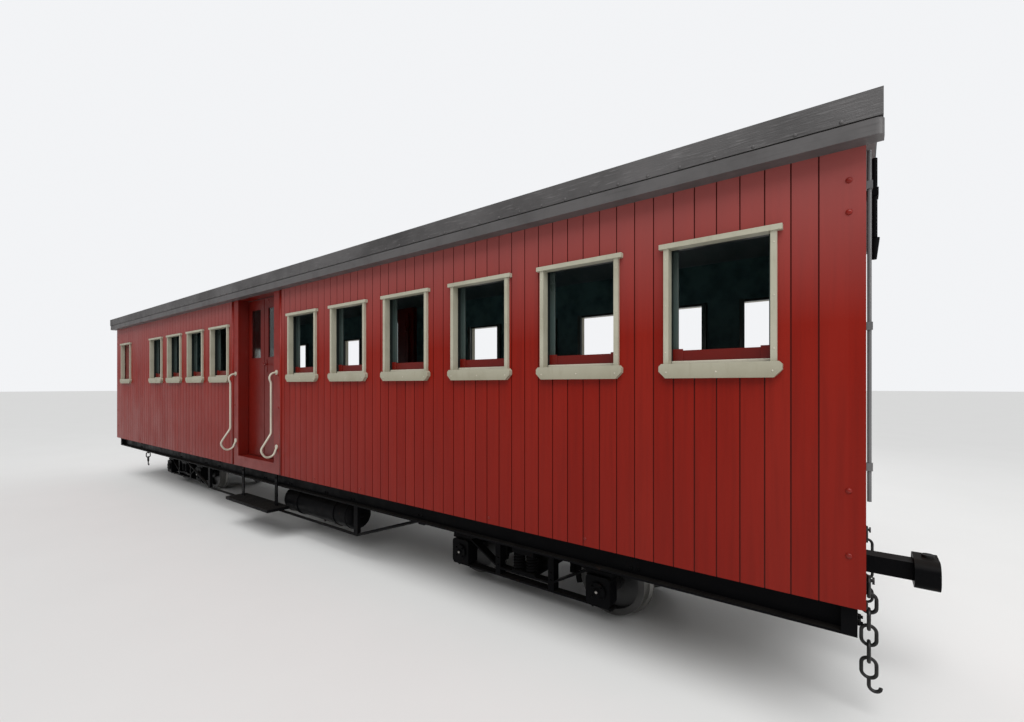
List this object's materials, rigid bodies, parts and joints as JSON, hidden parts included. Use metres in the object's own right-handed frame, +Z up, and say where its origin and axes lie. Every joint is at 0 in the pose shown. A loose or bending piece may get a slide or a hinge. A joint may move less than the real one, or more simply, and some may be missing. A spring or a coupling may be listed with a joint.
{
  "type": "narrow gauge passenger coach",
  "caption": "Wooden-bodied narrow gauge passenger coach with a recessed side door, framed windows, curved roof, trussed steel underframe and two swivelling bogies.",
  "frame": {"origin": "middle of the coach in plan, at the lowest point of the wheel flanges, 25 mm below the rail tops", "axes": "+X along the coach to its front end, +Y to its left side, +Z up"},
  "size_m": [11.81, 2.3482, 3.125],
  "materials": {
    "red_paint": "semi-gloss painted boards",
    "cream_paint": "satin paint on wood",
    "green_paint": "satin paint on wood",
    "roof_felt": "matt dark roofing",
    "eave_paint": "matt dark paint",
    "black_steel": "satin black paint on steel",
    "wheel_steel": "bare rolled steel tread, painted centre",
    "floor_wood": "worn boards",
    "bench_wood": "varnished wood",
    "cream_steel": "gloss paint on steel tube",
    "chain_steel": "blackened steel"
  },
  "bodies": {
    "coach": {"bench_backs": "bench_wood", "bench_ends": "green_paint", "bench_seats": "bench_wood", "body_bolsters": "black_steel", "cornices": "eave_paint", "coupler_front": "black_steel", "coupler_pins": "chain_steel", "coupler_rear": "black_steel", "cross_bearers": "black_steel", "door_frame_left": "red_paint", "door_frame_right": "red_paint", "end_conduits": "black_steel", "end_cornices": "eave_paint", "end_pipes": "eave_paint", "end_wall_front": "red_paint", "end_wall_rear": "red_paint", "floor": "floor_wood", "handrails_left": "cream_steel", "handrails_right": "cream_steel", "headstocks": "black_steel", "queen_posts": "black_steel", "reservoir": "black_steel", "reservoir_straps": "black_steel", "roof": "roof_felt", "safety_chains_front": "chain_steel", "safety_chains_rear": "chain_steel", "side_wall_left_front": "red_paint", "side_wall_left_rear": "red_paint", "side_wall_right_front": "red_paint", "side_wall_right_rear": "red_paint", "sill_beams": "black_steel", "solebars": "black_steel", "step_left": "black_steel", "step_right": "black_steel", "truss_rods": "black_steel", "window_frames_left": "cream_paint", "window_frames_right": "cream_paint", "window_sashes_left": "red_paint", "window_sashes_right": "red_paint", "window_shutter": "red_paint"},
    "bogie_front": {"bogie_front_frame": "black_steel", "bogie_front_bolster": "black_steel", "bogie_front_springs": "black_steel", "bogie_front_axleboxes": "black_steel", "bogie_front_brakes": "black_steel"},
    "wheelset_front_front": {"bogie_front_wheelset_front": "wheel_steel"},
    "wheelset_front_rear": {"bogie_front_wheelset_rear": "wheel_steel"},
    "bogie_rear": {"bogie_rear_frame": "black_steel", "bogie_rear_bolster": "black_steel", "bogie_rear_springs": "black_steel", "bogie_rear_axleboxes": "black_steel", "bogie_rear_brakes": "black_steel"},
    "wheelset_rear_front": {"bogie_rear_wheelset_front": "wheel_steel"},
    "wheelset_rear_rear": {"bogie_rear_wheelset_rear": "wheel_steel"},
    "door_left_front": {"door_left_front": "red_paint"},
    "door_left_rear": {"door_left_rear": "red_paint"},
    "door_right_front": {"door_right_front": "red_paint"},
    "door_right_rear": {"door_right_rear": "red_paint"}
  },
  "joints": [
    {"name": "bogie_front_swivel", "type": "hinge", "parent": "coach", "child": "bogie_front", "pos_m": [3.475, 0, 0.48], "axis": [0, 0, 1], "range_deg": [-8, 8]},
    {"name": "wheelset_front_front_spin", "type": "hinge", "parent": "bogie_front", "child": "wheelset_front_front", "pos_m": [4.115, 0, 0.275], "axis": [0, 1, 0], "continuous": true},
    {"name": "wheelset_front_rear_spin", "type": "hinge", "parent": "bogie_front", "child": "wheelset_front_rear", "pos_m": [2.835, 0, 0.275], "axis": [0, 1, 0], "continuous": true},
    {"name": "bogie_rear_swivel", "type": "hinge", "parent": "coach", "child": "bogie_rear", "pos_m": [-3.475, 0, 0.48], "axis": [0, 0, 1], "range_deg": [-8, 8]},
    {"name": "wheelset_rear_front_spin", "type": "hinge", "parent": "bogie_rear", "child": "wheelset_rear_front", "pos_m": [-2.835, 0, 0.275], "axis": [0, 1, 0], "continuous": true},
    {"name": "wheelset_rear_rear_spin", "type": "hinge", "parent": "bogie_rear", "child": "wheelset_rear_rear", "pos_m": [-4.115, 0, 0.275], "axis": [0, 1, 0], "continuous": true},
    {"name": "door_left_front_hinge", "type": "hinge", "parent": "coach", "child": "door_left_front", "pos_m": [0.419, 0.825, 1.8], "axis": [0, 0, 1], "range_deg": [0, 90]},
    {"name": "door_left_rear_hinge", "type": "hinge", "parent": "coach", "child": "door_left_rear", "pos_m": [-0.494, 0.825, 1.8], "axis": [0, 0, -1], "range_deg": [0, 90]},
    {"name": "door_right_front_hinge", "type": "hinge", "parent": "coach", "child": "door_right_front", "pos_m": [0.419, -0.825, 1.8], "axis": [0, 0, -1], "range_deg": [0, 90]},
    {"name": "door_right_rear_hinge", "type": "hinge", "parent": "coach", "child": "door_right_rear", "pos_m": [-0.494, -0.825, 1.8], "axis": [0, 0, 1], "range_deg": [0, 90]}
  ]
}
